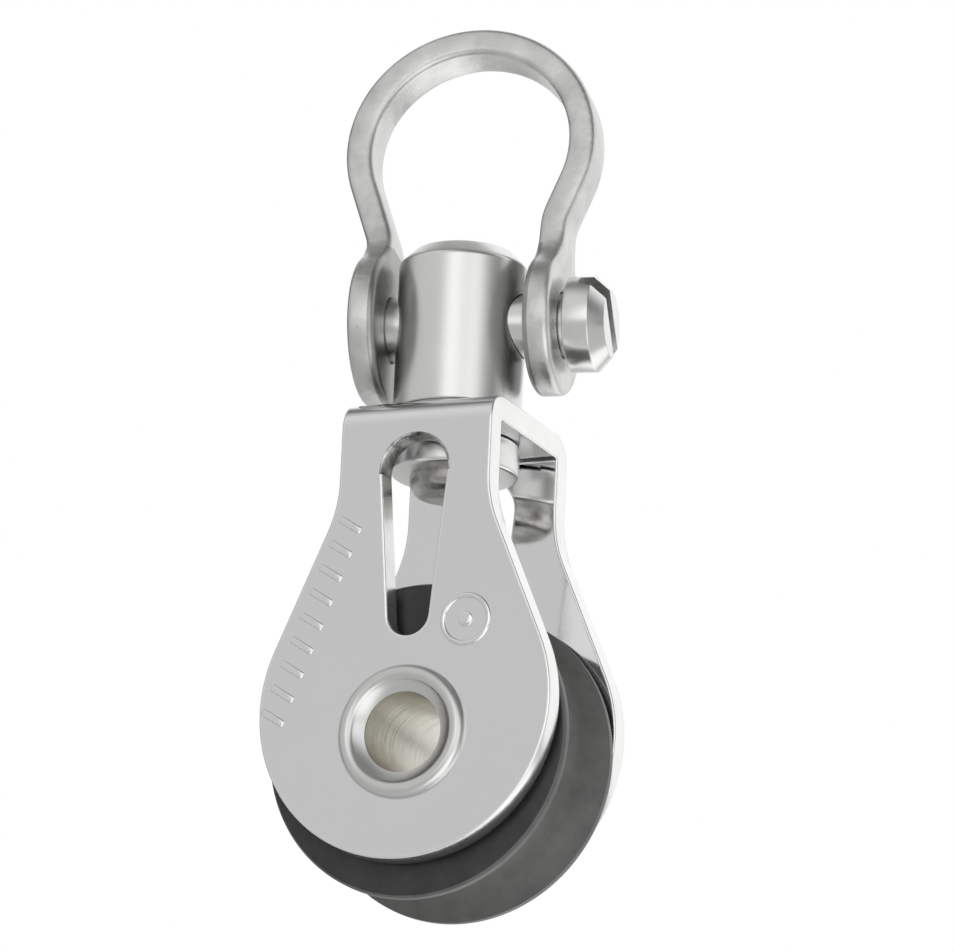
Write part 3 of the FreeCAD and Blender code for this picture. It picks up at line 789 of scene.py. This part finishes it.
def earPoints(ear, inset, end, direction):
    # half of one ear's outline, from its foot round to the strip's edge
    blend = bow["earBlend"] + inset
    radius = ear - inset
    centreY = bow["halfDepth"] + bow["earBlend"]
    centreZ = math.sqrt((ear + bow["earBlend"]) ** 2 - centreY ** 2)
    turn = math.degrees(math.atan2(centreZ, centreY))
    rounded = arcPoints((0, 0), radius, -90, turn, bow["earSteps"])
    flare = arcPoints((centreY, centreZ), blend, 180 + turn, 180, bow["flareSteps"])
    return [(end + direction * along, across) for across, along in rounded + flare]


def bowLoops(inset):
    edge = earPoints(bow["threadEar"], inset, 0, 1)
    edge += list(reversed(earPoints(bow["headEar"], inset, bowLength, -1)))
    outer = edge + reflected(edge, 1, 0)
    hole = bow["pinHole"] + inset / 2
    holes = [arcPoints((end, 0), hole, 0, 360, bow["holeSteps"]) for end in (0, bowLength)]
    return [outer, *holes]


def makeBow():
    shape = roundedSheet(bowLoops, bow["thickness"], bow["edgeRound"], bow["edgeSegments"])
    bmesh.ops.translate(shape, vec=(0, 0, -bow["thickness"] / 2), verts=shape.verts)
    first = threadLeg["straight"]
    last = bowLength - headLeg["straight"]
    cuts = round((last - first) / bow["cutSpacing"])
    cutAcross(shape, [first + (last - first) * cut / cuts for cut in range(cuts + 1)], 0)
    for face in shape.faces:
        middle = face.calc_center_median()
        byEar = min(middle.x, bowLength - middle.x) < bow["headEar"] + bow["shadeReach"]
        face.material_index = 1 if byEar and middle.z < bow["edgeRound"] - bow["thickness"] / 2 else 0
    for vert in shape.verts:
        vert.co = bendBow(vert.co)
    return finishPiece(shape, "shackleBowStrip", "shackle", ["shackle_bow"],
                       [tumbledSteel, shadedSteel], shacklePlace, sharp=55)


makeBow()

# shackle pin

pin = {
    "shank": 1.5, "tip": -4.68, "head": 5.42, "headRadius": 2.28, "headLength": 1.93, "chamferLength": 0.68,
    "chamferDepth": 0.7, "edge": 0.07, "tipRound": 0.25, "slotWidth": 0.9, "slotDepth": 1.33,
    "slotReach": 3, "slotTurn": -42.2, "steps": 160,
}


def makePin():
    end = pin["head"] + pin["headLength"]
    radius = pin["headRadius"]
    edge = pin["edge"]
    outline = roundedOutline([
        (0, pin["tip"], 0),
        (pin["shank"], pin["tip"], pin["tipRound"]),
        (pin["shank"], pin["head"], 0),
        (radius, pin["head"], edge),
        (radius, end - pin["chamferLength"], edge),
        (radius - pin["chamferDepth"], end, edge),
        (0, end, 0),
    ])
    shape = turnedShape(outline, Vector((1, 0, 0)), pin["steps"], closed=False)
    turned = shacklePlace @ Matrix.Rotation(math.radians(pin["slotTurn"]), 4, "X")
    piece = finishPiece(shape, "shacklePinTurned", "pin", ["shackle_pin"],
                        [pinSteel], turned, sharp=35)
    slot = bmesh.new()
    bmesh.ops.create_cube(slot, size=1)
    bmesh.ops.scale(slot, vec=(pin["slotDepth"] * 2, radius * pin["slotReach"], pin["slotWidth"]),
                    verts=slot.verts)
    cutAway(piece, slot, turned @ Matrix.Translation((end, 0, 0)))
    return piece


makePin()

# floor, light and camera

studio = {
    "floorSize": 3.0, "floorHeight": -0.25, "floorSteps": 8,
    "floorColour": (0.86, 0.86, 0.86), "floorRoughness": 0.8,
    "dim": 0.10, "backdrop": 1.0, "lightsAimAt": (0, 0, 0.012),
    "glows": [
        {"toward": (165, 10), "full": 48, "fade": 78, "strength": 1.05},
        {"toward": (-36, 20), "full": 30, "fade": 62, "strength": 0.56},
        {"toward": (28, 2), "full": 17, "fade": 46, "strength": 0.95},
        {"toward": (62, 0), "full": 8, "fade": 34, "strength": 0.45},
        {"toward": (0, 90), "full": 30, "fade": 70, "strength": 0.13},
    ],
    "lights": [
        {"name": "low front fill", "place": (0.16, -0.14, -0.15), "size": (0.24, 0.24), "power": 0.17},
        {"name": "low rear fill", "place": (0.06, 0.2, -0.17), "size": (0.34, 0.24), "power": 0.19},
    ],
}


def heading(azimuth, elevation):
    # direction to a place seen from the block: degrees right of straight ahead, and up
    turn, lift = math.radians(azimuth), math.radians(elevation)
    return Vector((math.sin(turn) * math.cos(lift), -math.cos(turn) * math.cos(lift), math.sin(lift)))


def makeFloor():
    shape = bmesh.new()
    bmesh.ops.create_grid(shape, x_segments=studio["floorSteps"],
                          y_segments=studio["floorSteps"], size=studio["floorSize"])
    bmesh.ops.translate(shape, vec=(0, 0, studio["floorHeight"]), verts=shape.verts)
    mesh = bpy.data.meshes.new("floor")
    shape.to_mesh(mesh)
    shape.free()
    material = startMaterial("pale floor", studio["floorColour"], 0, studio["floorRoughness"])[0]
    mesh.materials.append(material)
    floor = bpy.data.objects.new("floor", mesh)
    bpy.context.scene.collection.objects.link(floor)


def makeWorld():
    # a dim studio with soft bright areas; seen directly it is a plain white backdrop
    world = bpy.data.worlds.new("studio")
    bpy.context.scene.world = world
    world.use_nodes = True
    tree = world.node_tree
    coordinates = tree.nodes.new("ShaderNodeTexCoord").outputs["Generated"]
    total = None
    for glow in studio["glows"]:
        facing = tree.nodes.new("ShaderNodeVectorMath")
        facing.operation = "DOT_PRODUCT"
        facing.inputs[1].default_value = heading(*glow["toward"])
        tree.links.new(coordinates, facing.inputs[0])
        span = tree.nodes.new("ShaderNodeMapRange")
        span.interpolation_type = "SMOOTHSTEP"
        span.inputs["From Min"].default_value = math.cos(math.radians(glow["fade"]))
        span.inputs["From Max"].default_value = math.cos(math.radians(glow["full"]))
        span.inputs["To Min"].default_value = studio["dim"] if total is None else 0
        span.inputs["To Max"].default_value = glow["strength"]
        tree.links.new(facing.outputs["Value"], span.inputs["Value"])
        if total is None:
            total = span.outputs["Result"]
            continue
        add = tree.nodes.new("ShaderNodeMath")
        add.operation = "ADD"
        tree.links.new(total, add.inputs[0])
        tree.links.new(span.outputs["Result"], add.inputs[1])
        total = add.outputs["Value"]
    path = tree.nodes.new("ShaderNodeLightPath")
    mix = tree.nodes.new("ShaderNodeMix")
    mix.data_type = "FLOAT"
    mix.inputs["B"].default_value = studio["backdrop"]
    tree.links.new(path.outputs["Is Camera Ray"], mix.inputs["Factor"])
    tree.links.new(total, mix.inputs["A"])
    tree.links.new(mix.outputs["Result"], tree.nodes["Background"].inputs["Color"])


def aim(thing, place, target):
    thing.location = place
    thing.rotation_euler = (Vector(target) - Vector(place)).to_track_quat("-Z", "Y").to_euler()


def makeLights():
    for lamp in studio["lights"]:
        light = bpy.data.lights.new(lamp["name"], "AREA")
        light.shape = "RECTANGLE"
        light.size, light.size_y = lamp["size"]
        light.energy = lamp["power"]
        thing = bpy.data.objects.new(lamp["name"], light)
        bpy.context.scene.collection.objects.link(thing)
        aim(thing, lamp["place"], studio["lightsAimAt"])


view = {
    "azimuth": 23.822, "elevation": -15.566, "roll": 2.601, "distance": 0.364,
    "target": (0.001171, 0, 0.013441), "lens": 291.5, "clipStart": 0.01,
}


def makeCamera():
    back = heading(view["azimuth"], view["elevation"])
    right = heading(view["azimuth"] + 90, 0)
    up = back.cross(right)
    camera = bpy.data.objects.new("camera", bpy.data.cameras.new("camera"))
    bpy.context.scene.collection.objects.link(camera)
    camera.data.lens = view["lens"]
    camera.data.clip_start = view["clipStart"]
    turn = Matrix((right, up, back)).transposed() @ Matrix.Rotation(math.radians(view["roll"]), 3, "Z")
    camera.matrix_world = Matrix.Translation(Vector(view["target"]) + back * view["distance"]) @ turn.to_4x4()
    bpy.context.scene.camera = camera


makeFloor()
makeWorld()
makeLights()
makeCamera()
bpy.context.scene.view_settings.view_transform = "Standard"
print("studio ready")
